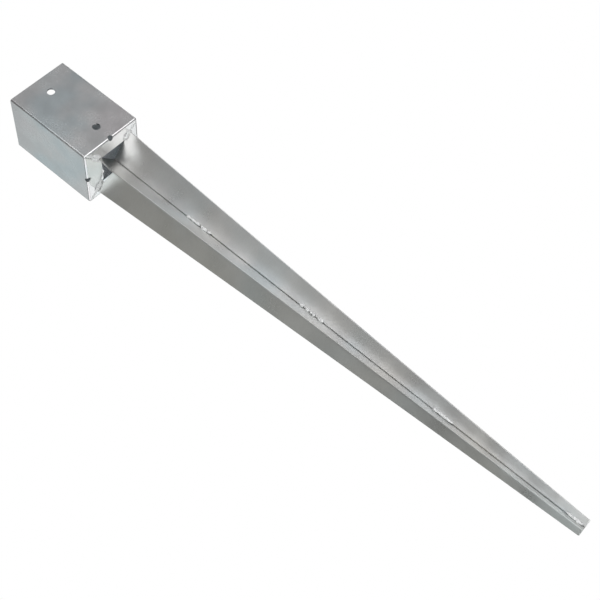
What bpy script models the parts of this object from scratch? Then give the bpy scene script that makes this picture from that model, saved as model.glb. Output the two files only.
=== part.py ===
"""Post anchor spike: a folded sheet-steel socket for a square post, on a four-bladed spike driven in the ground.

Units are metres and +Z is up.  The origin is the middle of the socket's underside, which is the ground line of a
driven spike.  The socket opens upwards and the spike points down.  Front is -Y, back is +Y, left is -X and
right is +X.  The bolt holes are in the front and back walls, and the blades stand on the socket's diagonals.
"""

import math

import bmesh
import bpy
from mathutils import Matrix, Vector

# Sheet and socket
SHEET = 0.002
POST_WIDTH = 0.090
SOCKET_WIDTH = POST_WIDTH + 2 * SHEET
SOCKET_DEPTH = 0.140
FOLD_INNER_RADIUS = 0.001
FOLD_OUTER_RADIUS = FOLD_INNER_RADIUS + SHEET
FLAP_WIDTH = 0.024
LEFT_FLAP_WIDTH = 0.0275
MITRE_GAP = 0.0008
SEAM_GAP = 0.001
CORNER_NOTCH = 0.0034
FOLD_RELIEF_RADIUS = 0.0038
BOLT_HOLE_RADIUS = 0.0055
BOLT_HOLE_HEIGHTS = (0.027, 0.113)

# Spike
SPIKE_LENGTH = 0.760
SPIKE_FOOT_REACH = 0.0465
SPIKE_TIP_REACH = 0.0114
SPIKE_EDGE_HOLLOW = 0.0009
ANGLE_OUTER_RADIUS = 0.004
ANGLE_INNER_RADIUS = ANGLE_OUTER_RADIUS - SHEET
TAPER_STATIONS = 8
LEFT_TOP_SLOPE = math.radians(14.3)
LEFT_TOP_SLOPE_SPAN = (0.0025, 0.0440)

# Gap between pieces that touch on the real object
CLEARANCE = 0.0003

# Welds: each stitch is (top, bottom) below the ground line
STITCH_SPANS = ((0.136, 0.178), (0.330, 0.369), (0.539, 0.571))
TIP_WELD_SPAN = (0.733, 0.758)
STITCH_RADIUS = 0.0026
STITCH_SETBACK = 0.0034
FOOT_WELD_SPAN = (0.0310, 0.0450)
FOOT_WELD_RADIUS = 0.0026
FOOT_WELD_SETBACK = 0.0012
MITRE_WELD_SPAN = (0.0472, 0.0600)
MITRE_WELD_RADIUS = 0.0020

# Rounding of curved shapes
FOLD_SEGMENTS = 4
ANGLE_SEGMENTS = 8
HOLE_SEGMENTS = 28
BEAD_SEGMENTS = 12
BEAD_RINGS = 8

HALF_WIDTH = SOCKET_WIDTH / 2
HALF_OPENING = HALF_WIDTH - FLAP_WIDTH
LEFT_OPENING = HALF_WIDTH - LEFT_FLAP_WIDTH
OVERCUT = 0.002
DIAGONALS = {
    "front_left": (-1, -1),
    "front_right": (1, -1),
    "back_right": (1, 1),
    "back_left": (-1, 1),
}


def clear_scene():
    for item in list(bpy.data.objects):
        bpy.data.objects.remove(item, do_unlink=True)


def new_collection(name):
    collection = bpy.data.collections.new(name)
    bpy.context.scene.collection.children.link(collection)
    return collection


def metal(name, colour, roughness):
    material = bpy.data.materials.new(name)
    material.use_nodes = True
    shader = material.node_tree.nodes["Principled BSDF"]
    shader.inputs["Base Color"].default_value = (*colour, 1.0)
    shader.inputs["Roughness"].default_value = roughness
    shader.inputs["Metallic"].default_value = 1.0
    material.diffuse_color = (*colour, 1.0)
    return material


def socket_zinc():
    return metal("socket_zinc", (0.60, 0.62, 0.64), 0.30)


def left_angle_zinc():
    return metal("left_angle_zinc", (0.55, 0.57, 0.59), 0.32)


def right_angle_zinc():
    return metal("right_angle_zinc", (0.58, 0.60, 0.62), 0.32)


def weld_metal(name):
    return metal(name + "_metal", (0.70, 0.71, 0.72), 0.38)


def mesh_object(name, mesh_builder, collection):
    mesh = bpy.data.meshes.new(name)
    mesh_builder.to_mesh(mesh)
    mesh_builder.free()
    item = bpy.data.objects.new(name, mesh)
    collection.objects.link(item)
    return item


def as_cutter(item):
    item.hide_render = True
    item.display_type = "WIRE"
    return item


def add_block(builder, low, high, turn=0.0):
    """Adds a box between two corners, then turns it about the vertical axis."""
    low = Vector(low)
    high = Vector(high)
    size = Matrix.Diagonal((*(high - low), 1.0))
    place = Matrix.Translation((low + high) / 2)
    bmesh.ops.create_cube(builder, size=1.0, matrix=Matrix.Rotation(turn, 4, "Z") @ place @ size)


def add_rod(builder, radius, start, end):
    """Adds a round bar from start to end."""
    start = Vector(start)
    run = Vector(end) - start
    turn = run.to_track_quat("Z", "Y").to_matrix().to_4x4()
    place = Matrix.Translation(start + run / 2) @ turn
    bmesh.ops.create_cone(
        builder, cap_ends=True, segments=HOLE_SEGMENTS, radius1=radius, radius2=radius,
        depth=run.length, matrix=place,
    )


def boolean(item, cutter, operation="DIFFERENCE"):
    modifier = item.modifiers.new(cutter.name, "BOOLEAN")
    modifier.solver = "EXACT"
    modifier.operation = operation
    modifier.object = cutter


def bend_folds(item, radius):
    """Rounds the three folded upright corners and the four foot folds.  The back right corner stays sharp."""
    mesh = item.data
    weights = mesh.attributes.new("bevel_weight_edge", "FLOAT", "EDGE")
    for edge in mesh.edges:
        ends = [mesh.vertices[index].co for index in edge.vertices]
        middle = (ends[0] + ends[1]) / 2
        upright = abs(ends[0].z - ends[1].z) > SHEET
        seam = middle.x > 0 and middle.y > 0
        foot = max(ends[0].z, ends[1].z) < SHEET + CLEARANCE
        weights.data[edge.index].value = float(foot or (upright and not seam))
    bevel = item.modifiers.new("Folds", "BEVEL")
    bevel.limit_method = "WEIGHT"
    bevel.offset_type = "OFFSET"
    bevel.width = radius
    bevel.segments = FOLD_SEGMENTS


def socket_blank(collection):
    """The outside of the folded socket, closed at the foot."""
    builder = bmesh.new()
    add_block(builder, (-HALF_WIDTH, -HALF_WIDTH, 0), (HALF_WIDTH, HALF_WIDTH, SOCKET_DEPTH))
    blank = mesh_object("socket_sleeve", builder, collection)
    bend_folds(blank, FOLD_OUTER_RADIUS)
    return blank


def post_cavity(cutters):
    """The space for the post, open at the top."""
    half_post = POST_WIDTH / 2
    builder = bmesh.new()
    add_block(builder, (-half_post, -half_post, SHEET), (half_post, half_post, SOCKET_DEPTH + OVERCUT))
    cavity = mesh_object("cut_post_cavity", builder, cutters)
    bend_folds(cavity, FOLD_INNER_RADIUS)
    return as_cutter(cavity)


def foot_opening(cutters):
    """The hole left between the four flaps.  The left flap is wider, so it reaches past the ends of its mitres."""
    points = [
        (-HALF_OPENING, -HALF_OPENING), (HALF_OPENING, -HALF_OPENING),
        (HALF_OPENING, HALF_OPENING), (-HALF_OPENING, HALF_OPENING),
        (-LEFT_OPENING, LEFT_OPENING), (-LEFT_OPENING, -LEFT_OPENING),
    ]
    return as_cutter(extruded_outline("cut_foot_opening", points, -OVERCUT, SHEET + OVERCUT, cutters))


def mitre_slots(cutters):
    """The gaps on the diagonals where neighbouring flaps meet."""
    inner = LEFT_OPENING * math.sqrt(2) - OVERCUT
    outer = (HALF_WIDTH - FOLD_OUTER_RADIUS) * math.sqrt(2)
    builder = bmesh.new()
    for step in range(4):
        add_block(
            builder, (inner, -MITRE_GAP / 2, -OVERCUT), (outer, MITRE_GAP / 2, SHEET + OVERCUT),
            math.radians(45 + 90 * step),
        )
    return as_cutter(mesh_object("cut_mitre_slots", builder, cutters))


def corner_notch(cutters):
    """The square notch at the foot of the open corner, where two folds and the seam meet."""
    near = HALF_WIDTH - CORNER_NOTCH
    far = HALF_WIDTH + OVERCUT
    builder = bmesh.new()
    add_block(builder, (near, near, -OVERCUT), (far, far, CORNER_NOTCH))
    return as_cutter(mesh_object("cut_corner_notch", builder, cutters))


def fold_reliefs(cutters):
    """The round hole on the middle of each foot fold, which takes away part of the wall and of the flap."""
    builder = bmesh.new()
    reach = FOLD_OUTER_RADIUS + SHEET
    for step in range(4):
        angle = math.radians(90 * step)
        side = Vector((math.cos(angle), math.sin(angle), 0))
        slope = side - Vector((0, 0, 1))
        corner = side * HALF_WIDTH
        add_rod(builder, FOLD_RELIEF_RADIUS, corner - slope * reach, corner + slope * reach)
    return as_cutter(mesh_object("cut_fold_reliefs", builder, cutters))


def corner_seam(cutters):
    """The gap at the back right corner, between the end of the right wall and the inside of the back wall."""
    inside = HALF_WIDTH - SHEET
    builder = bmesh.new()
    add_block(
        builder, (inside - CLEARANCE, inside - SEAM_GAP, -OVERCUT),
        (HALF_WIDTH + OVERCUT, inside, SOCKET_DEPTH + OVERCUT),
    )
    return as_cutter(mesh_object("cut_corner_seam", builder, cutters))


def bolt_holes(cutters):
    """Two holes on the centre line, each through the front and the back wall."""
    builder = bmesh.new()
    reach = HALF_WIDTH + OVERCUT
    for height in BOLT_HOLE_HEIGHTS:
        add_rod(builder, BOLT_HOLE_RADIUS, (0, -reach, height), (0, reach, height))
    return as_cutter(mesh_object("cut_bolt_holes", builder, cutters))


def socket_sleeve(collection, cutters):
    sleeve = socket_blank(collection)
    for make_cutter in (
        post_cavity, foot_opening, mitre_slots, corner_notch, fold_reliefs, corner_seam, bolt_holes,
    ):
        boolean(sleeve, make_cutter(cutters))
    sleeve.data.materials.append(socket_zinc())
    return sleeve


def angle_outline(side, growth=0.0):
    """Section of one bent angle: two blades at 90 degrees whose bend faces the other angle.

    side is +1 for the right-hand angle and -1 for the left-hand one.  growth thickens the section all round.
    """
    reach = SPIKE_FOOT_REACH + OVERCUT
    centre = ANGLE_OUTER_RADIUS + CLEARANCE / 2
    slope = math.sqrt(0.5)
    sweep = [math.radians(135 + 90 * step / ANGLE_SEGMENTS) for step in range(ANGLE_SEGMENTS + 1)]
    outer = [(centre + (ANGLE_OUTER_RADIUS + growth) * math.cos(a),
              (ANGLE_OUTER_RADIUS + growth) * math.sin(a)) for a in sweep]
    inner = [(centre + (ANGLE_INNER_RADIUS - growth) * math.cos(a),
              (ANGLE_INNER_RADIUS - growth) * math.sin(a)) for a in reversed(sweep)]
    back_outer = (outer[0][0] + reach * slope, outer[0][1] + reach * slope)
    front_outer = (outer[-1][0] + reach * slope, outer[-1][1] - reach * slope)
    front_inner = (inner[0][0] + reach * slope, inner[0][1] - reach * slope)
    back_inner = (inner[-1][0] + reach * slope, inner[-1][1] + reach * slope)
    points = [back_outer, *outer, front_outer, front_inner, *inner, back_inner]
    return [(side * x, y) for x, y in points]


def extruded_outline(name, points, bottom, top, collection):
    """A flat outline extruded along the vertical axis, as one closed mesh."""
    curve = bpy.data.curves.new(name + "_outline", "CURVE")
    curve.dimensions = "2D"
    curve.fill_mode = "BOTH"
    curve.extrude = (top - bottom) / 2
    spline = curve.splines.new("POLY")
    spline.points.add(len(points) - 1)
    for target, (x, y) in zip(spline.points, points):
        target.co = (x, y, 0, 1)
    spline.use_cyclic_u = True
    guide = bpy.data.objects.new(name + "_outline", curve)
    guide.location.z = (top + bottom) / 2
    collection.objects.link(guide)
    bpy.context.view_layer.update()
    depsgraph = bpy.context.evaluated_depsgraph_get()
    mesh = bpy.data.meshes.new_from_object(guide.evaluated_get(depsgraph))
    mesh.name = name
    builder = bmesh.new()
    builder.from_mesh(mesh)
    bmesh.ops.remove_doubles(builder, verts=builder.verts, dist=CLEARANCE / 10)
    bmesh.ops.recalc_face_normals(builder, faces=builder.faces)
    builder.to_mesh(mesh)
    builder.free()
    item = bpy.data.objects.new(name, mesh)
    item.matrix_world = guide.matrix_world.copy()
    collection.objects.link(item)
    bpy.data.objects.remove(guide, do_unlink=True)
    return item


def spike_taper(cutters):
    """A long four-sided spindle that trims the blades: its sides cross the socket's diagonals."""
    corner = math.sqrt(2)
    profile = [(0.0, -CLEARANCE)]
    for station in range(TAPER_STATIONS + 1):
        part = station / TAPER_STATIONS
        reach = SPIKE_FOOT_REACH + (SPIKE_TIP_REACH - SPIKE_FOOT_REACH) * part
        reach -= SPIKE_EDGE_HOLLOW * 4 * part * (1 - part)
        profile.append((reach * corner, -CLEARANCE - (SPIKE_LENGTH - CLEARANCE) * part))
    profile.append((0.0, -SPIKE_LENGTH))
    builder = bmesh.new()
    points = [builder.verts.new((x, 0, z)) for x, z in profile]
    for first, second in zip(points, points[1:]):
        builder.edges.new((first, second))
    spindle = mesh_object("trim_spike_taper", builder, cutters)
    screw = spindle.modifiers.new("Spindle", "SCREW")
    screw.axis = "Z"
    screw.angle = math.radians(360)
    screw.steps = 4
    screw.render_steps = 4
    screw.use_merge_vertices = True
    screw.merge_threshold = 0.00005
    return as_cutter(spindle)


def left_top_slope(cutters):
    """A tilted block that lowers the top of the left angle's back blade towards the axis."""
    inner, outer = LEFT_TOP_SLOPE_SPAN
    length = (outer - inner) / math.cos(LEFT_TOP_SLOPE)
    height = outer - inner
    hinge = Vector((-outer, outer, 0)) * math.sqrt(0.5)
    turn = Matrix.Rotation(math.radians(135), 4, "Z") @ Matrix.Rotation(-LEFT_TOP_SLOPE, 4, "Y")
    middle = Matrix.Translation((-length / 2, 0, height / 2))
    size = Matrix.Diagonal((length, 2 * SHEET + OVERCUT, height, 1.0))
    builder = bmesh.new()
    bmesh.ops.create_cube(builder, size=1.0, matrix=Matrix.Translation(hinge) @ turn @ middle @ size)
    return as_cutter(mesh_object("cut_left_top_slope", builder, cutters))


def spike_angle(name, side, taper, cuts, material, collection):
    """One bent angle of the spike, trimmed to the taper."""
    item = extruded_outline(name, angle_outline(side), -SPIKE_LENGTH - OVERCUT, OVERCUT, collection)
    boolean(item, taper, "INTERSECT")
    for cut in cuts:
        boolean(item, cut)
    item.data.materials.append(material)
    item.data.shade_smooth()
    item.data.set_sharp_from_angle(angle=math.radians(30))
    return item


def clearance_body(side, name, cutters):
    """A thickened, untapered copy of one angle, which cuts the weld beads back to their clearance."""
    body = extruded_outline(name, angle_outline(side, CLEARANCE), -SPIKE_LENGTH - OVERCUT, OVERCUT, cutters)
    return as_cutter(body)


def foot_clearance(cutters):
    """Everything above the flaps' underside, with the clearance below it."""
    builder = bmesh.new()
    add_block(builder, (-HALF_WIDTH, -HALF_WIDTH, -CLEARANCE), (HALF_WIDTH, HALF_WIDTH, FLAP_WIDTH))
    return as_cutter(mesh_object("cut_foot_clearance", builder, cutters))


def weld_bead(name, start, end, radius, cuts, collection):
    """A spindle-shaped bead from start to end, cut back where it meets its neighbours."""
    start = Vector(start)
    run = Vector(end) - start
    turn = run.to_track_quat("Z", "Y").to_matrix().to_4x4()
    size = Matrix.Diagonal((radius, radius, run.length / 2, 1.0))
    builder = bmesh.new()
    bmesh.ops.create_uvsphere(
        builder, u_segments=BEAD_SEGMENTS, v_segments=BEAD_RINGS, radius=1.0,
        matrix=Matrix.Translation(start + run / 2) @ turn @ size,
    )
    bead = mesh_object(name, builder, collection)
    for cut in cuts:
        boolean(bead, cut)
    bead.data.materials.append(weld_metal(name))
    bead.data.shade_smooth()
    bead.data.set_sharp_from_angle(angle=math.radians(50))
    return bead


def seam_welds(cuts, collection):
    """Stitches and tip welds in the front and the back valley, where the two angles meet."""
    for face, direction in (("front", -1), ("back", 1)):
        spans = [(f"weld_stitch_{face}_{number}", span) for number, span in enumerate(STITCH_SPANS, 1)]
        spans.append((f"weld_tip_{face}", TIP_WELD_SPAN))
        for name, (top, bottom) in spans:
            offset = direction * STITCH_SETBACK
            weld_bead(name, (0, offset, -top), (0, offset, -bottom), STITCH_RADIUS, cuts, collection)


def foot_welds(cuts, collection):
    """Two fillets on each blade, one in the corner with each of the two flaps that it crosses."""
    slope = math.sqrt(0.5)
    shift = SHEET / 2 + FOOT_WELD_SETBACK
    for name, (x, y) in DIAGONALS.items():
        front_or_back, left_or_right = name.split("_")
        for flap, (side_x, side_y) in ((front_or_back, (-x, y)), (left_or_right, (x, -y))):
            ends = []
            for reach in FOOT_WELD_SPAN:
                across = slope * shift
                ends.append((x * slope * reach + side_x * across,
                             y * slope * reach + side_y * across,
                             -FOOT_WELD_SETBACK))
            weld_bead(f"weld_{name}_blade_to_{flap}_flap", *ends, FOOT_WELD_RADIUS, cuts, collection)


def mitre_welds(cuts, collection):
    """A low bead over the outer end of each mitre, from the blade to the corner notch."""
    slope = math.sqrt(0.5)
    for name, (x, y) in DIAGONALS.items():
        ends = [(x * slope * reach, y * slope * reach, 0) for reach in MITRE_WELD_SPAN]
        weld_bead(f"weld_mitre_{name}", *ends, MITRE_WELD_RADIUS, cuts, collection)


def build():
    clear_scene()
    parts = new_collection("post_anchor_spike")
    cutters = new_collection("cutters")
    socket_sleeve(parts, cutters)
    taper = spike_taper(cutters)
    left_cuts = [left_top_slope(cutters)]
    spike_angle("spike_angle_left", -1, taper, left_cuts, left_angle_zinc(), parts)
    spike_angle("spike_angle_right", 1, taper, [], right_angle_zinc(), parts)
    angle_cuts = [
        clearance_body(-1, "cut_left_clearance", cutters),
        clearance_body(1, "cut_right_clearance", cutters),
    ]
    seam_welds(angle_cuts, parts)
    foot_cut = foot_clearance(cutters)
    foot_welds([*angle_cuts, foot_cut], parts)
    mitre_welds([foot_cut], parts)


build()
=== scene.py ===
"""Looks of the post anchor spike: folded sheet parts, rippled weld beads and bright zinc.

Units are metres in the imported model's own frame.  +Z runs up the spike's axis, front is -Y and left is -X.
"""

import math
import random

import bmesh
import bpy
from mathutils import Matrix, Quaternion, Vector, noise


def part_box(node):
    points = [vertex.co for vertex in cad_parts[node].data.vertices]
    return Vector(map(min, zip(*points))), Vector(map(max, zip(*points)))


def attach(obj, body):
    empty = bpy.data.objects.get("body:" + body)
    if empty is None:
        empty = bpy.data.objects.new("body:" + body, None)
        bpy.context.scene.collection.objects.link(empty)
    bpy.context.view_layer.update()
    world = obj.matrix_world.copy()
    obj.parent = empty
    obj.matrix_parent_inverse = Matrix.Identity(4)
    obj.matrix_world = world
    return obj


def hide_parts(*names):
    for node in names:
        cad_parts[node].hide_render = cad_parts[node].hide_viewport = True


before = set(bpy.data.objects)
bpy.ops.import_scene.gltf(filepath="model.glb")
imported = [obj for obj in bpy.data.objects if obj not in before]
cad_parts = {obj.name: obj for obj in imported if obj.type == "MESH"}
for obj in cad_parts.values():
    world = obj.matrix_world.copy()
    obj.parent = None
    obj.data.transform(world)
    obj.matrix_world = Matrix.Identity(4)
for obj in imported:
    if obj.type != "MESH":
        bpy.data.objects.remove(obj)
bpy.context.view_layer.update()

BODY = "root"

# Sizes read from the frame
SOCKET_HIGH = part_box("socket_sleeve")[1]
HALF_WIDTH = SOCKET_HIGH.x
SOCKET_DEPTH = SOCKET_HIGH.z
SPIKE_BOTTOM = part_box("spike_angle_right")[0].z
SPIKE_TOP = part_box("spike_angle_right")[1].z
ANGLE_GAP = 2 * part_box("spike_angle_right")[0].x

# Sheet
SHEET = 0.002
EDGE_ROUNDING = 0.00028
BLADE_ROUNDING = 0.0005
BEND_STEPS = 10
SHARP_ANGLE = math.radians(50)

# Socket
FOLD_RADIUS = 0.003
FLAP_WIDTH = 0.024
LEFT_FLAP_WIDTH = 0.0275
MITRE_GAP = 0.0008
SEAM_GAP = 0.001
CORNER_NOTCH = 0.0034
BOLT_HOLE_RADIUS = 0.0055
BOLT_HOLE_SIDES = 56
BOLT_HOLE_HEIGHTS = (0.027, 0.113)

# How far the back wall's bolt holes are off the front wall's.  In the frame they are in line.
BACK_HOLE_SHIFT = Vector((-0.0018, 0, 0.0012))

FOLD_RELIEF_RADIUS = 0.0038
FOLD_RELIEF_SIDES = 36

# How far each relief is set in from its wall: front, left, right and back.  In the frame none is.
FOLD_RELIEF_SHIFTS = (0, 0.0012, 0, 0)

# How far a cutter reaches past the surface that it cuts
OVERCUT = 0.002

# Spike
ANGLE_RADIUS = 0.004
FOOT_REACH = 0.0465
TIP_REACH = 0.0114
EDGE_HOLLOW = 0.0009
FOOT_CORNER_RADIUS = 0.0012
TIP_CORNER_RADIUS = 0.0008
TAPER_STATIONS = 12

# Sideways drift of the spike's folds at the foot, and how it dies out.  In the frame there is none.
FOLD_DRIFT = 0.0023
DRIFT_LENGTH = 0.60
DRIFT_POWER = 1.5

# Sloped top of the left angle's back blade: drop, the reaches between which it slopes, and corner radii
LEFT_TOP_DROP = 0.0105
LEFT_TOP_SPAN = (0.0025, 0.0440)
LEFT_TOP_RADII = (0.0006, 0.0015)

# Cut corner of the left angle's front blade: reach left at the top, depth of the cut, and corner radii.
# In the frame this corner is square.
LEFT_CORNER_CUT = (0.0375, 0.030)
LEFT_CORNER_RADII = (0.003, 0.02)

# Welds: spans are reaches from the axis along a blade.  The foot and mitre beads lie up to 2.5 mm further out
# than in the frame.
BEAD_VOXEL = 0.00022
BEAD_SOFTENING = 0.5
BEAD_SOFTENING_STEPS = 2
DROP_SPACING = 0.75
DROP_SIZES = (0.82, 1.12)
DROP_SWELL = 0.14
DROP_SWELL_PITCH = 900
SINGLE_DROP_STRETCH = (1, 1, 1.2)
SINGLE_DROP_WANDER = 0.3
END_TAPER = 0.35
NOISE_STEP = 3.7
SEAM_WELD_SETBACK = 0.0054
SEAM_WELD_WANDER = 0.18
FOOT_WELD_SPAN = (0.0335, 0.0465)
FOOT_WELD_HEIGHT = -0.0004
FOOT_WELD_SETBACK = 0.0010
FOOT_WELD_RADIUS = 0.0030
FOOT_WELD_WANDER = 0.3
MITRE_WELD_SPAN = (0.0492, 0.0616)
MITRE_WELD_HEIGHT = 0.0008
MITRE_WELD_RADIUS = 0.0024
MITRE_WELD_WANDER = 0.15

# Each stitch is runs of (top, bottom, radius), with depths below the ground line
STITCHES = (
    (
        (0.1375, 0.1390, 0.0024),
        (0.1400, 0.1570, 0.0017),
        (0.1610, 0.1690, 0.0023),
        (0.1720, 0.1765, 0.0018),
    ),
    (
        (0.3320, 0.3330, 0.0024),
        (0.3415, 0.3430, 0.0025),
        (0.3475, 0.3480, 0.0016),
        (0.3520, 0.3535, 0.0019),
        (0.3600, 0.3660, 0.0021),
    ),
    (
        (0.5410, 0.5440, 0.0023),
        (0.5450, 0.5690, 0.0018),
    ),
)
TIP_WELD = (
    (0.7350, 0.7420, 0.0018),
    (0.7430, 0.7550, 0.0022),
)

# Zinc
GRAIN_SIZE = 0.0007
GRAIN_DEPTH = 0.0000065
WAVE_SIZE = 0.030
WAVE_DEPTH = 0.00006
PATCH_SHARE = 0.38
SPIKE_GRAIN = (7, 7, 1)
SOCKET_GRAIN = (1, 1, 5)
SOCKET_CLOUDS = 0.075
SPIKE_CLOUDS = 0.11
COOL = (0.90, 0.975, 1.0)
PALE = (0.95, 0.985, 1.0)
WARM = (1.0, 0.960, 0.965)
OLIVE = (1.0, 0.985, 0.965)
SOCKET_TONE = (0.78, 0.79, 0.80)
# The left angle's tone is darker than the right's. This is painted shade for the back left blade, which lies
# in the front left blade's shadow.
LEFT_TONE_WITH_PAINTED_SHADE = (0.64, 0.65, 0.64)
RIGHT_TONE = (0.82, 0.82, 0.82)
SOCKET_ROUGHNESS = 0.25
SPIKE_ROUGHNESS = 0.31

# Weld metal and floor paint
BEAD_METALLIC = 0.25
MOTTLE_SIZE = 0.0016
BEAD_GRAIN_SIZE = 0.0009
BEAD_GRAIN_DEPTH = 0.00006
PAINT_CLOUDS = 0.8

SLOPE = math.sqrt(0.5)
DIAGONALS = {
    "front_left": (-1, -1),
    "front_right": (1, -1),
    "back_right": (1, 1),
    "back_left": (-1, 1),
}

# Camera
VIEW_TARGET = Vector((0.0056, -0.0029, -0.3249))
VIEW_AZIMUTH = math.radians(-27.53)
VIEW_ELEVATION = math.radians(-18.18)
VIEW_ROLL = math.radians(-52.14)
VIEW_DISTANCE = 1.530
VIEW_LENS = 73.84

# Studio
FLOOR_HEIGHT = -2.6
FLOOR_RADIUS = 25.0
FLOOR_GLOW = 0.6
WALL_BRIGHTNESS = 0.15


# Sheet metal --------------------------------------------------------------------------------------


def bend_length(radius):
    """How much flat sheet goes into a right-angled bend of this outer radius."""
    return math.pi / 2 * (radius - SHEET / 2)


def bent(along, depth, start, radius):
    """Where a point of a flat sheet goes when the sheet is bent inwards through a right angle.

    along is measured down the sheet and depth inwards from its outer face.  The bend begins at start.
    """
    past = along - start
    if past <= 0:
        return along, depth
    length = bend_length(radius)
    if past >= length:
        return start + radius - depth, radius + past - length
    angle = past / length * math.pi / 2
    arm = radius - depth
    return start + arm * math.sin(angle), radius - arm * math.cos(angle)


def rounded_outline(corners, steps=5):
    """A closed outline through (x, y, radius) corners, with an arc at each corner that has a radius."""
    points = []
    for index, (x, y, radius) in enumerate(corners):
        corner = Vector((x, y))
        if radius == 0:
            points.append(corner)
            continue
        before = (Vector(corners[index - 1][:2]) - corner).normalized()
        after = (Vector(corners[(index + 1) % len(corners)][:2]) - corner).normalized()
        half_angle = before.angle(after) / 2
        centre = corner + (before + after).normalized() * (radius / math.sin(half_angle))
        first = (corner + before * (radius / math.tan(half_angle)) - centre).normalized()
        last = (corner + after * (radius / math.tan(half_angle)) - centre).normalized()
        for step in range(steps + 1):
            points.append(centre + first.slerp(last, step / steps) * radius)
    return points


def flat_blank(name, outlines):
    """A flat sheet with softened edges.  The first outline is its rim and the others are holes.

    Its outer face is at z = 0 and its inner face at z = SHEET.
    """
    curve = bpy.data.curves.new(name, "CURVE")
    curve.dimensions = "2D"
    curve.fill_mode = "BOTH"
    curve.extrude = SHEET / 2 - BLADE_ROUNDING
    curve.bevel_depth = BLADE_ROUNDING
    curve.bevel_resolution = 2
    curve.offset = -BLADE_ROUNDING
    for outline in outlines:
        spline = curve.splines.new("POLY")
        spline.points.add(len(outline) - 1)
        for target, point in zip(spline.points, outline):
            target.co = (point.x, point.y, 0, 1)
        spline.use_cyclic_u = True
    guide = bpy.data.objects.new(name, curve)
    bpy.context.scene.collection.objects.link(guide)
    bpy.context.view_layer.update()
    depsgraph = bpy.context.evaluated_depsgraph_get()
    mesh = bpy.data.meshes.new_from_object(guide.evaluated_get(depsgraph))
    builder = bmesh.new()
    builder.from_mesh(mesh)
    bmesh.ops.remove_doubles(builder, verts=builder.verts, dist=BLADE_ROUNDING / 50)
    bmesh.ops.recalc_face_normals(builder, faces=builder.faces)
    bmesh.ops.translate(builder, verts=builder.verts, vec=(0, 0, SHEET / 2))
    bpy.data.objects.remove(guide, do_unlink=True)
    bpy.data.meshes.remove(mesh)
    return builder


def cut_across(builder, axis, start, length, steps):
    """Adds the edge loops that a bend needs, square to the axis."""
    for step in range(steps + 1):
        place = Vector((0, 0, 0))
        place[axis] = start + length * step / steps
        normal = Vector((0, 0, 0))
        normal[axis] = 1
        geometry = builder.verts[:] + builder.edges[:] + builder.faces[:]
        bmesh.ops.bisect_plane(builder, geom=geometry, dist=1e-7, plane_co=place, plane_no=normal)


def finish_piece(name, builder, material, node):
    """Makes a piece from a finished mesh, with flat faces shaded flat and bends shaded smooth."""
    bmesh.ops.recalc_face_normals(builder, faces=builder.faces)
    mesh = bpy.data.meshes.new(name)
    builder.to_mesh(mesh)
    builder.free()
    mesh.shade_smooth()
    mesh.set_sharp_from_angle(angle=SHARP_ANGLE)
    piece = bpy.data.objects.new(name, mesh)
    bpy.context.scene.collection.objects.link(piece)
    weighted = piece.modifiers.new("Flat faces", "WEIGHTED_NORMAL")
    weighted.mode = "FACE_AREA"
    weighted.keep_sharp = True
    mesh.materials.append(material)
    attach(piece, BODY)
    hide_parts(node)


# Socket -------------------------------------------------------------------------------------------


def new_object(name, builder):
    """A plain object from a finished mesh, such as a cutter."""
    mesh = bpy.data.meshes.new(name)
    builder.to_mesh(mesh)
    builder.free()
    item = bpy.data.objects.new(name, mesh)
    bpy.context.scene.collection.objects.link(item)
    return item


def block(name, low, high, turns=(0,)):
    """A box between two corners, repeated at each of these turns in degrees about the vertical axis."""
    low = Vector(low)
    high = Vector(high)
    size = Matrix.Translation((low + high) / 2) @ Matrix.Diagonal((*(high - low), 1.0))
    builder = bmesh.new()
    for turn in turns:
        bmesh.ops.create_cube(builder, size=1.0, matrix=Matrix.Rotation(math.radians(turn), 4, "Z") @ size)
    return new_object(name, builder)


def rods(name, radius, runs, segments):
    """A round bar along each run from start to end."""
    builder = bmesh.new()
    for start, end in runs:
        run = Vector(end) - Vector(start)
        place = Matrix.Translation(Vector(start) + run / 2) @ run.to_track_quat("Z", "Y").to_matrix().to_4x4()
        bmesh.ops.create_cone(
            builder, cap_ends=True, segments=segments,
            radius1=radius, radius2=radius, depth=run.length, matrix=place,
        )
    return new_object(name, builder)


def prism(name, points, low, high):
    """An upright prism over a flat outline."""
    builder = bmesh.new()
    face = builder.faces.new([builder.verts.new((x, y, low)) for x, y in points])
    sides = bmesh.ops.extrude_face_region(builder, geom=[face])["geom"]
    raised = [item for item in sides if isinstance(item, bmesh.types.BMVert)]
    bmesh.ops.translate(builder, verts=raised, vec=(0, 0, high - low))
    bmesh.ops.recalc_face_normals(builder, faces=builder.faces)
    return new_object(name, builder)


def fold(item, radius, steps):
    """Rounds the foot edges and the three folded upright corners.  The back right corner stays sharp."""
    weights = item.data.attributes.new("bevel_weight_edge", "FLOAT", "EDGE")
    for edge in item.data.edges:
        ends = [item.data.vertices[index].co for index in edge.vertices]
        middle = (ends[0] + ends[1]) / 2
        upright = abs(ends[0].z - ends[1].z) > SHEET
        seam = middle.x > 0 and middle.y > 0
        foot = max(ends[0].z, ends[1].z) < 2 * SHEET
        weights.data[edge.index].value = float(foot or (upright and not seam))
    bevel = item.modifiers.new("Folds", "BEVEL")
    bevel.limit_method = "WEIGHT"
    bevel.width = radius
    bevel.segments = steps


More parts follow.
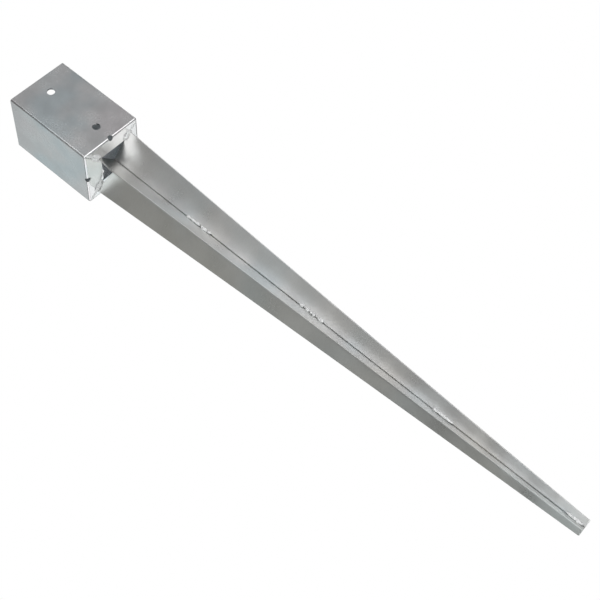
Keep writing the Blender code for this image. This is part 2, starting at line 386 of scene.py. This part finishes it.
def socket_cutters():
    """Everything that is cut from the folded block: post space, holes, gaps between flaps, and the seam."""
    inside = HALF_WIDTH - SHEET
    opening = HALF_WIDTH - FLAP_WIDTH
    left_opening = HALF_WIDTH - LEFT_FLAP_WIDTH
    above = SOCKET_DEPTH + OVERCUT
    beyond = HALF_WIDTH + OVERCUT
    cavity = block("post_cavity", (-inside, -inside, SHEET), (inside, inside, above))
    fold(cavity, FOLD_RADIUS - SHEET, 6)
    foot = [(-opening, -opening), (opening, -opening), (opening, opening), (-opening, opening),
            (-left_opening, left_opening), (-left_opening, -left_opening)]
    mitre_start = left_opening / SLOPE - OVERCUT
    mitre_end = (HALF_WIDTH - FOLD_RADIUS) / SLOPE
    near = HALF_WIDTH - CORNER_NOTCH
    reach = FOLD_RADIUS + SHEET
    reliefs = []
    for side, shift in zip(((0, -1, 0), (-1, 0, 0), (1, 0, 0), (0, 1, 0)), FOLD_RELIEF_SHIFTS):
        slope = Vector(side) - Vector((0, 0, 1))
        corner = Vector(side) * (HALF_WIDTH - shift)
        reliefs.append((corner - slope * reach, corner + slope * reach))
    bolts = []
    for height in BOLT_HOLE_HEIGHTS:
        bolts.append(((0, -beyond, height), (0, 0, height)))
        back = Vector((0, 0, height)) + BACK_HOLE_SHIFT
        bolts.append((back + Vector((0, SHEET, 0)), back + Vector((0, beyond, 0))))
    return [
        cavity,
        prism("foot_opening", foot, -OVERCUT, SHEET + OVERCUT),
        block("mitres", (mitre_start, -MITRE_GAP / 2, -OVERCUT),
              (mitre_end, MITRE_GAP / 2, SHEET + OVERCUT), (45, 135, 225, 315)),
        block("notch", (near, near, -OVERCUT), (beyond, beyond, CORNER_NOTCH)),
        block("seam", (inside - EDGE_ROUNDING, inside - SEAM_GAP, -OVERCUT), (beyond, inside, above)),
        rods("fold_reliefs", FOLD_RELIEF_RADIUS, reliefs, FOLD_RELIEF_SIDES),
        rods("bolt_holes", BOLT_HOLE_RADIUS, bolts, BOLT_HOLE_SIDES),
    ]


def socket(material):
    """The folded socket, cut from a rounded block, with softened sheet edges."""
    item = block("socket_block", (-HALF_WIDTH, -HALF_WIDTH, 0), (HALF_WIDTH, HALF_WIDTH, SOCKET_DEPTH))
    fold(item, FOLD_RADIUS, BEND_STEPS)
    cutters = socket_cutters()
    for cutter in cutters:
        cut = item.modifiers.new(cutter.name, "BOOLEAN")
        cut.solver = "EXACT"
        cut.operation = "DIFFERENCE"
        cut.object = cutter
    soften = item.modifiers.new("Soft edges", "BEVEL")
    soften.limit_method = "ANGLE"
    soften.angle_limit = SHARP_ANGLE
    soften.width = EDGE_ROUNDING
    soften.segments = 2
    bpy.context.view_layer.update()
    depsgraph = bpy.context.evaluated_depsgraph_get()
    mesh = bpy.data.meshes.new_from_object(item.evaluated_get(depsgraph))
    builder = bmesh.new()
    builder.from_mesh(mesh)
    for spare in (item, *cutters):
        bpy.data.objects.remove(spare, do_unlink=True)
    bpy.data.meshes.remove(mesh)
    finish_piece("folded_socket", builder, material, "socket_sleeve")


# Spike --------------------------------------------------------------------------------------------


def blade_reach(part):
    """How far a blade reaches from the axis, from the foot (part 0) to the tip (part 1)."""
    return FOOT_REACH + (TIP_REACH - FOOT_REACH) * part - EDGE_HOLLOW * 4 * part * (1 - part)


def drift(place):
    """How far a point of the spike lies to the side of its place in the frame, towards the front right blade.

    The drift is greatest at the foot.  It shifts the folds and the whole of the two blades across it.
    The outer edges of the two blades along it stay in place.
    """
    height = min(place.z, 0)
    most = FOLD_DRIFT * max(0, 1 + height / DRIFT_LENGTH) ** DRIFT_POWER
    across = abs(place.x - place.y) * SLOPE
    share = max(0, 1 - across / blade_reach(height / (SPIKE_BOTTOM - SPIKE_TOP)))
    return Vector((SLOPE, -SLOPE, 0)) * most * share


def spike_angle(name, side, material):
    """One long angle: a tapering blank bent along its middle.  side is +1 for the right one."""
    length = bend_length(ANGLE_RADIUS)
    centre = ANGLE_RADIUS + ANGLE_GAP / 2
    spare = length / 2 - centre * SLOPE
    edge = []
    for station in range(TAPER_STATIONS + 1):
        part = station / TAPER_STATIONS
        edge.append((blade_reach(part) + spare, SPIKE_TOP + (SPIKE_BOTTOM - SPIKE_TOP) * part))
    radii = [FOOT_CORNER_RADIUS] + [0] * (TAPER_STATIONS - 1) + [TIP_CORNER_RADIUS]
    one_side = [(-x, y, radius) for (x, y), radius in zip(edge, radii)]
    other_side = [(x, y, radius) for (x, y), radius in zip(edge, radii)]
    top = []
    if side < 0:
        reach, drop = LEFT_CORNER_CUT
        upper_radius, lower_radius = LEFT_CORNER_RADII
        lower_reach = blade_reach(drop / (SPIKE_TOP - SPIKE_BOTTOM))
        one_side[0] = (-reach - spare, SPIKE_TOP, upper_radius)
        one_side.insert(1, (-lower_reach - spare, SPIKE_TOP - drop, lower_radius))
        inner, outer = LEFT_TOP_SPAN
        rim_radius, notch_radius = LEFT_TOP_RADII
        top = [
            (outer + spare, SPIKE_TOP, 0),
            (inner + spare, SPIKE_TOP - LEFT_TOP_DROP, notch_radius),
            (inner + spare, SPIKE_TOP, rim_radius),
        ]
    outline = rounded_outline(one_side + list(reversed(other_side)) + top)
    builder = flat_blank(name + "_blank", [outline])
    cut_across(builder, 0, -length / 2, length, BEND_STEPS)
    inwards = Vector((SLOPE, SLOPE))
    onwards = Vector((-SLOPE, SLOPE))
    origin = Vector((centre, 0)) - inwards * ANGLE_RADIUS + onwards * (length / 2)
    for vertex in builder.verts:
        along, height, depth = vertex.co
        along, depth = bent(along, depth, -length / 2, ANGLE_RADIUS)
        place = origin + onwards * along + inwards * depth
        vertex.co = (side * place.x, place.y, height)
        vertex.co += drift(vertex.co)
    node = "spike_angle_right" if side > 0 else "spike_angle_left"
    finish_piece(name, builder, material, node)


# Welds --------------------------------------------------------------------------------------------


def add_lump(builder, place, radius, stretch, rng):
    """One drop of weld metal.  stretch is how far it is drawn out along each axis."""
    place = Vector(place)
    place += drift(place)
    turn = Matrix.Rotation(rng.uniform(0, math.tau), 4, "Z")
    turn @= Matrix.Rotation(rng.uniform(0, math.tau), 4, "X")
    size = Matrix.Diagonal((*stretch, 1.0))
    made = bmesh.ops.create_icosphere(
        builder, subdivisions=3, radius=radius, matrix=Matrix.Translation(place) @ size @ turn,
    )
    for vertex in made["verts"]:
        outwards = (vertex.co - place).normalized()
        swell = noise.noise(vertex.co * DROP_SWELL_PITCH + Vector((rng.seed_shift, 0, 0)))
        vertex.co += outwards * swell * radius * DROP_SWELL


class SeededRandom(random.Random):
    """A seeded generator that also gives each weld its own place in the noise field."""

    def __init__(self, seed):
        super().__init__(seed)
        self.seed_shift = seed * NOISE_STEP


def melt(node, builder, material):
    """Fuses the drops of one weld into a single smooth skin, which replaces its node in the frame."""
    name = node.replace("weld", "bead")
    rough = bpy.data.meshes.new(name + "_drops")
    builder.to_mesh(rough)
    builder.free()
    guide = bpy.data.objects.new(name + "_drops", rough)
    bpy.context.scene.collection.objects.link(guide)
    remesh = guide.modifiers.new("Melt", "REMESH")
    remesh.mode = "VOXEL"
    remesh.voxel_size = BEAD_VOXEL
    soften = guide.modifiers.new("Soften", "SMOOTH")
    soften.factor = BEAD_SOFTENING
    soften.iterations = BEAD_SOFTENING_STEPS
    bpy.context.view_layer.update()
    depsgraph = bpy.context.evaluated_depsgraph_get()
    mesh = bpy.data.meshes.new_from_object(guide.evaluated_get(depsgraph))
    mesh.name = name
    bpy.data.objects.remove(guide, do_unlink=True)
    bpy.data.meshes.remove(rough)
    mesh.shade_smooth()
    mesh.materials.clear()
    mesh.materials.append(material)
    piece = bpy.data.objects.new(name, mesh)
    bpy.context.scene.collection.objects.link(piece)
    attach(piece, BODY)
    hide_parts(node)


def bead(builder, start, end, radius, rng, wander):
    """A run of overlapping drops from start to end, which stray by up to wander times the radius."""
    start = Vector(start)
    end = Vector(end)
    run = end - start
    count = max(2, round(run.length / (radius * DROP_SPACING)))
    for number in range(count + 1):
        part = number / count
        ends = 1 - END_TAPER * abs(2 * part - 1) ** 3
        size = radius * ends * rng.uniform(*DROP_SIZES)
        shift = Vector([rng.uniform(-wander, wander) * radius for _ in range(3)])
        add_lump(builder, start + run * part + shift, size, (1, 1, 1), rng)


def seam_weld(name, direction, runs, material, seed):
    """A weld in the front (-1) or back (+1) valley between the two angles.

    Each run is (top, bottom, radius), with depths below the ground line.  A run shorter than its radius is
    a single drop.
    """
    rng = SeededRandom(seed)
    builder = bmesh.new()
    for top, bottom, radius in runs:
        out = direction * (SEAM_WELD_SETBACK - radius)
        if bottom - top < radius:
            aside = rng.uniform(-SINGLE_DROP_WANDER, SINGLE_DROP_WANDER) * radius
            add_lump(builder, (aside, out, -top), radius, SINGLE_DROP_STRETCH, rng)
        else:
            bead(builder, (0, out, -top), (0, out, -bottom), radius, rng, SEAM_WELD_WANDER)
    melt(name, builder, material)


def seam_welds(material):
    for face, direction in (("front", -1), ("back", 1)):
        for number, runs in enumerate(STITCHES, 1):
            seam_weld(f"weld_stitch_{face}_{number}", direction, runs, material, 10 * number + direction)
        seam_weld(f"weld_tip_{face}", direction, TIP_WELD, material, 50 + direction)


def foot_welds(material):
    """Two fillets on each blade, one in the corner with each of the two flaps that it crosses."""
    for number, (corner, (x, y)) in enumerate(DIAGONALS.items()):
        front_or_back, left_or_right = corner.split("_")
        sides = ((front_or_back, (-x, y)), (left_or_right, (x, -y)))
        for flap, (side_x, side_y) in sides:
            name = f"weld_{corner}_blade_to_{flap}_flap"
            rng = SeededRandom(100 + 2 * number + (flap == front_or_back))
            across = SLOPE * (SHEET / 2 + FOOT_WELD_SETBACK)
            ends = []
            for reach in FOOT_WELD_SPAN:
                along = SLOPE * reach
                ends.append((x * along + side_x * across, y * along + side_y * across, FOOT_WELD_HEIGHT))
            builder = bmesh.new()
            bead(builder, *ends, FOOT_WELD_RADIUS, rng, FOOT_WELD_WANDER)
            melt(name, builder, material)


def mitre_welds(material):
    """A low bead over the outer end of each mitre."""
    for number, (corner, (x, y)) in enumerate(DIAGONALS.items()):
        rng = SeededRandom(200 + number)
        builder = bmesh.new()
        ends = [(x * SLOPE * reach, y * SLOPE * reach, MITRE_WELD_HEIGHT) for reach in MITRE_WELD_SPAN]
        bead(builder, *ends, MITRE_WELD_RADIUS, rng, MITRE_WELD_WANDER)
        melt(f"weld_mitre_{corner}", builder, material)


# Materials ----------------------------------------------------------------------------------------


class NodeTree:
    """Short calls for building a material's node tree."""

    def __init__(self, name):
        self.material = bpy.data.materials.new(name)
        self.material.use_nodes = True
        self.nodes = self.material.node_tree.nodes
        self.links = self.material.node_tree.links
        self.shader = self.nodes["Principled BSDF"]
        self.place = self.add("ShaderNodeTexCoord").outputs["Object"]

    def add(self, kind, **settings):
        node = self.nodes.new(kind)
        for key, value in settings.items():
            setattr(node, key, value)
        return node

    def noise(self, size, detail=2.0, roughness=0.5, stretch=(1, 1, 1)):
        """Noise whose patches are about this many metres across, drawn out along each axis by stretch."""
        mapping = self.add("ShaderNodeMapping")
        mapping.inputs["Scale"].default_value = [1 / (size * factor) for factor in stretch]
        self.links.new(self.place, mapping.inputs["Vector"])
        texture = self.add("ShaderNodeTexNoise")
        texture.inputs["Scale"].default_value = 1.0
        texture.inputs["Detail"].default_value = detail
        texture.inputs["Roughness"].default_value = roughness
        self.links.new(mapping.outputs["Vector"], texture.inputs["Vector"])
        return texture.outputs["Fac"]

    def ramp(self, value, *stops):
        """A colour ramp through (position, colour) stops."""
        ramp = self.add("ShaderNodeValToRGB")
        elements = ramp.color_ramp.elements
        while len(elements) < len(stops):
            elements.new(0.5)
        for element, (position, colour) in zip(elements, stops):
            element.position = position
            element.color = (*colour, 1.0)
        self.links.new(value, ramp.inputs["Fac"])
        return ramp.outputs["Color"]

    def spread(self, value, low, high):
        """Maps the middle of a noise's range to low..high."""
        spread = self.add("ShaderNodeMapRange")
        spread.inputs["From Min"].default_value = 0.3
        spread.inputs["From Max"].default_value = 0.7
        spread.inputs["To Min"].default_value = low
        spread.inputs["To Max"].default_value = high
        self.links.new(value, spread.inputs["Value"])
        return spread.outputs["Result"]

    def multiply(self, first, second, factor=1.0):
        mix = self.add("ShaderNodeMix", data_type="RGBA", blend_type="MULTIPLY")
        mix.inputs["Factor"].default_value = factor
        self.links.new(first, mix.inputs[6])
        self.links.new(second, mix.inputs[7])
        return mix.outputs[2]

    def sum(self, first, second):
        add = self.add("ShaderNodeMath", operation="ADD")
        self.links.new(first, add.inputs[0])
        self.links.new(second, add.inputs[1])
        return add.outputs["Value"]

    def bump(self, height, distance, below=None):
        """A bump of this depth in metres, over another one if given."""
        bump = self.add("ShaderNodeBump")
        bump.inputs["Distance"].default_value = distance
        bump.inputs["Strength"].default_value = 1.0
        self.links.new(height, bump.inputs["Height"])
        if below is not None:
            self.links.new(below, bump.inputs["Normal"])
        return bump.outputs["Normal"]


def zinc(name, tone, grain, cloud_size, tints, roughness):
    """Bright zinc: cloudy tints, fine grain drawn out along each axis by grain, and slight waviness."""
    tree = NodeTree(name)
    shader = tree.shader
    shader.inputs["Metallic"].default_value = 1.0
    clouds = tree.noise(cloud_size, 3.0, 0.45)
    patches = tree.noise(cloud_size * PATCH_SHARE, 2.5, 0.45)
    fine = tree.noise(GRAIN_SIZE, 2.0, 0.6, grain)
    cool, warm = tints
    tint = tree.ramp(clouds, (0.35, cool), (0.50, (1.0, 1.0, 1.0)), (0.66, warm))
    shade = tree.ramp(patches, (0.34, (0.88, 0.88, 0.88)), (0.64, (1.0, 1.0, 1.0)))
    speck = tree.ramp(fine, (0.30, (0.94, 0.94, 0.94)), (0.70, (1.0, 1.0, 1.0)))
    # For the left angle this tone holds painted shade.
    flat = tree.ramp(clouds, (0.0, tone), (1.0, tone))
    colour = tree.multiply(tree.multiply(tree.multiply(flat, tint), shade), speck)
    tree.links.new(colour, shader.inputs["Base Color"])
    sheen = tree.sum(tree.spread(patches, roughness - 0.03, roughness + 0.03), tree.spread(fine, 0.02, -0.02))
    tree.links.new(sheen, shader.inputs["Roughness"])
    waves = tree.bump(tree.noise(WAVE_SIZE, 1.0, 0.4), WAVE_DEPTH)
    normal = tree.bump(fine, GRAIN_DEPTH, waves)
    tree.links.new(normal, shader.inputs["Normal"])
    return tree.material


def weld_metal():
    tree = NodeTree("weld_metal")
    shader = tree.shader
    shader.inputs["Metallic"].default_value = BEAD_METALLIC
    mottle = tree.noise(MOTTLE_SIZE, 3.0, 0.6)
    colour = tree.ramp(mottle, (0.30, (0.82, 0.83, 0.84)), (0.60, (0.96, 0.96, 0.96)))
    tree.links.new(colour, shader.inputs["Base Color"])
    tree.links.new(tree.spread(mottle, 0.42, 0.55), shader.inputs["Roughness"])
    normal = tree.bump(tree.noise(BEAD_GRAIN_SIZE, 3.0, 0.6), BEAD_GRAIN_DEPTH)
    tree.links.new(normal, shader.inputs["Normal"])
    return tree.material


def floor_paint():
    """Pale matt paint with a faint glow that only the camera sees, as the dim walls leave it in shade."""
    tree = NodeTree("floor_paint")
    clouds = tree.noise(PAINT_CLOUDS, 2.0, 0.5)
    colour = tree.ramp(clouds, (0.4, (0.80, 0.80, 0.80)), (0.6, (0.83, 0.83, 0.83)))
    tree.links.new(colour, tree.shader.inputs["Base Color"])
    tree.shader.inputs["Roughness"].default_value = 0.9
    glow = tree.add("ShaderNodeMath", operation="MULTIPLY")
    glow.inputs[1].default_value = FLOOR_GLOW
    tree.links.new(tree.add("ShaderNodeLightPath").outputs["Is Camera Ray"], glow.inputs[0])
    tree.links.new(glow.outputs["Value"], tree.shader.inputs["Emission Strength"])
    tree.shader.inputs["Emission Color"].default_value = (1.0, 1.0, 1.0, 1.0)
    return tree.material


# Studio -------------------------------------------------------------------------------------------


def camera():
    back = Vector((
        math.sin(VIEW_AZIMUTH) * math.cos(VIEW_ELEVATION),
        -math.cos(VIEW_AZIMUTH) * math.cos(VIEW_ELEVATION),
        math.sin(VIEW_ELEVATION),
    ))
    data = bpy.data.cameras.new("camera")
    data.lens = VIEW_LENS
    data.sensor_width = 36.0
    data.clip_start = 0.01
    data.clip_end = 100.0
    item = bpy.data.objects.new("camera", data)
    bpy.context.scene.collection.objects.link(item)
    item.location = VIEW_TARGET + back * VIEW_DISTANCE
    item.rotation_mode = "QUATERNION"
    item.rotation_quaternion = (-back).to_track_quat("-Z", "Y") @ Quaternion((0, 0, 1), VIEW_ROLL)
    bpy.context.scene.camera = item
    bpy.context.view_layer.update()
    return item


def floor():
    bpy.ops.mesh.primitive_circle_add(
        vertices=96, radius=FLOOR_RADIUS, fill_type="NGON", location=(0, 0, FLOOR_HEIGHT)
    )
    item = bpy.context.object
    item.name = "floor"
    item.data.materials.append(floor_paint())


def panel(name, view, direction, distance, size, radiance, colour=(1.0, 1.0, 1.0)):
    """A soft rectangular light that faces the object, level with the camera and invisible to it.

    direction is (right, up, towards the camera) as the camera sees it, and size is (width, height).
    """
    across, up, back = (view.to_3x3().col[axis].normalized() for axis in range(3))
    outwards = (across * direction[0] + up * direction[1] + back * direction[2]).normalized()
    level = (across - outwards * across.dot(outwards)).normalized()
    upright = outwards.cross(level)
    data = bpy.data.lights.new(name, "AREA")
    data.shape = "RECTANGLE"
    data.size = size[0]
    data.size_y = size[1]
    data.energy = radiance * math.pi * size[0] * size[1]
    data.color = colour
    item = bpy.data.objects.new(name, data)
    place = VIEW_TARGET + outwards * distance
    item.matrix_world = Matrix.Translation(place) @ Matrix((level, upright, outwards)).transposed().to_4x4()
    item.visible_camera = False
    bpy.context.scene.collection.objects.link(item)


def surroundings():
    """A white backdrop for the camera, and dim grey walls for everything else."""
    world = bpy.data.worlds.new("studio")
    bpy.context.scene.world = world
    world.use_nodes = True
    nodes = world.node_tree.nodes
    links = world.node_tree.links
    backdrop = nodes["Background"]
    backdrop.inputs["Color"].default_value = (1.0, 1.0, 1.0, 1.0)
    backdrop.inputs["Strength"].default_value = 1.0
    walls = nodes.new("ShaderNodeBackground")
    walls.inputs["Color"].default_value = (1.0, 1.0, 1.0, 1.0)
    walls.inputs["Strength"].default_value = WALL_BRIGHTNESS
    path = nodes.new("ShaderNodeLightPath")
    mix = nodes.new("ShaderNodeMixShader")
    links.new(path.outputs["Is Camera Ray"], mix.inputs["Fac"])
    links.new(walls.outputs["Background"], mix.inputs[1])
    links.new(backdrop.outputs["Background"], mix.inputs[2])
    links.new(mix.outputs["Shader"], nodes["World Output"].inputs["Surface"])


def studio(view):
    surroundings()
    floor()
    panel("softbox", view, (0.00, 0.70, 0.71), 3.0, (3.4, 1.5), 1.75)
    panel("right_fill", view, (0.56, 0.48, 0.67), 3.1, (1.3, 1.2), 1.60)
    panel("left_fill", view, (-0.37, 0.30, 0.88), 3.0, (2.1, 1.1), 1.02, (1.0, 0.98, 1.0))
    panel("front_fill", view, (0.05, -0.08, 1.00), 3.0, (2.2, 1.3), 1.75, (0.97, 1.0, 0.99))
    panel("ceiling", view, (-0.08, 0.95, 0.30), 3.0, (2.2, 1.6), 0.26)
    panel("ceiling_back", view, (0.16, 0.90, -0.40), 3.0, (1.6, 1.0), 0.90)
    panel("table_near", view, (-0.07, -0.54, 0.85), 3.0, (2.2, 1.6), 1.95, (0.96, 1.0, 0.98))
    panel("table_under", view, (0.00, -0.93, -0.35), 2.2, (1.8, 1.2), 1.30)
    panel("table_right", view, (0.74, -0.46, -0.50), 2.2, (1.9, 1.4), 1.30, (0.97, 1.0, 0.99))
    panel("table_left", view, (-0.81, -0.36, -0.467), 3.0, (3.4, 1.8), 0.50, (0.93, 1.0, 1.0))
    panel("left_wall", view, (-0.82, -0.10, 0.56), 3.0, (1.8, 1.1), 0.33, (1.0, 1.0, 0.94))
    panel("backdrop", view, (0.45, 0.42, -0.80), 3.0, (2.4, 1.5), 0.32)
    bpy.context.scene.view_settings.view_transform = "Standard"


# The whole scene ----------------------------------------------------------------------------------


def build():
    view = camera()
    socket(zinc("socket_zinc", SOCKET_TONE, SOCKET_GRAIN, SOCKET_CLOUDS, (COOL, WARM), SOCKET_ROUGHNESS))
    # The left angle gets the darker tone, which is painted shade.
    for name, side, tone in (("left", -1, LEFT_TONE_WITH_PAINTED_SHADE), ("right", 1, RIGHT_TONE)):
        metal = zinc(name + "_zinc", tone, SPIKE_GRAIN, SPIKE_CLOUDS, (PALE, OLIVE), SPIKE_ROUGHNESS)
        spike_angle(name + "_angle", side, metal)
    metal = weld_metal()
    seam_welds(metal)
    foot_welds(metal)
    mitre_welds(metal)
    studio(view.matrix_world)


build()
